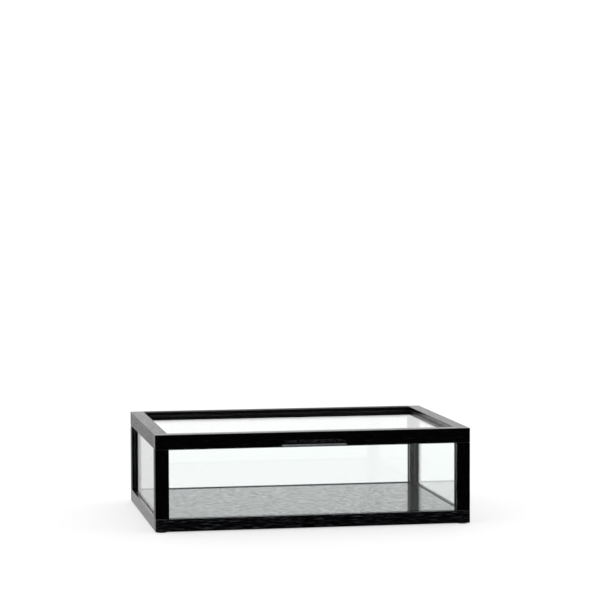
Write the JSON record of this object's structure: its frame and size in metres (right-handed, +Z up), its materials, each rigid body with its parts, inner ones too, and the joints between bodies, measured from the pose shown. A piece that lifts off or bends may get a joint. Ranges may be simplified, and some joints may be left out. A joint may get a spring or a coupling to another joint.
{
  "type": "glazed shadow box",
  "caption": "Low display case of black-stained wood bars and clear glass panes on a veneered base, with a glazed lid that hinges up at the back by a finger pull in its front rail.",
  "frame": {"origin": "on the surface the box stands on, under the middle of the closed box", "axes": "+X to the box's right seen from the front, +Y to the back where the hinges are, +Z up; the front with the finger pull faces -Y"},
  "size_m": [0.35, 0.25, 0.1066],
  "materials": {
    "black_wood": "black-stained open-grain oak under a satin clear lacquer",
    "black_veneer": "black-stained oak veneer, grain left to right, under a glossy clear lacquer",
    "clear_glass": "clear float glass with green polished edges",
    "seal_rubber": "matt black glazing rubber",
    "dowel_wood": "plain beech, fluted and glued",
    "pad_felt": "charcoal felt, self-adhesive",
    "bumper_rubber": "soft black rubber dot",
    "screw_steel": "zinc-plated countersunk steel",
    "hinge_brass": "antique brass, lightly brushed",
    "hinge_screw_brass": "antique brass countersunk screws",
    "pin_steel": "drawn steel wire"
  },
  "bodies": {
    "case": {"bottom_front_rail": "black_wood", "bottom_back_rail": "black_wood", "bottom_left_rail": "black_wood", "bottom_right_rail": "black_wood", "front_left_post": "black_wood", "front_right_post": "black_wood", "back_left_post": "black_wood", "back_right_post": "black_wood", "base_panel": "black_veneer", "base_panel_screws": "screw_steel", "front_glass": "clear_glass", "back_glass": "clear_glass", "left_glass": "clear_glass", "right_glass": "clear_glass", "front_glass_seal": "seal_rubber", "back_glass_seal": "seal_rubber", "left_glass_seal": "seal_rubber", "right_glass_seal": "seal_rubber", "base_corner_dowels": "dowel_wood", "post_dowels": "dowel_wood", "foot_pads": "pad_felt", "lid_bumpers": "bumper_rubber", "left_hinge_case_leaf": "hinge_brass", "right_hinge_case_leaf": "hinge_brass", "left_hinge_pin": "pin_steel", "right_hinge_pin": "pin_steel", "hinge_case_screws": "hinge_screw_brass"},
    "lid": {"lid_front_rail": "black_wood", "lid_back_rail": "black_wood", "lid_left_rail": "black_wood", "lid_right_rail": "black_wood", "top_glass": "clear_glass", "top_glass_seal": "seal_rubber", "lid_corner_dowels": "dowel_wood", "left_hinge_lid_leaf": "hinge_brass", "right_hinge_lid_leaf": "hinge_brass", "hinge_lid_screws": "hinge_screw_brass"}
  },
  "joints": [
    {"name": "lid_hinge", "type": "hinge", "parent": "case", "child": "lid", "pos_m": [0, 0.122, 0.09045], "axis": [-1, 0, 0], "range_deg": [0, 100]}
  ]
}
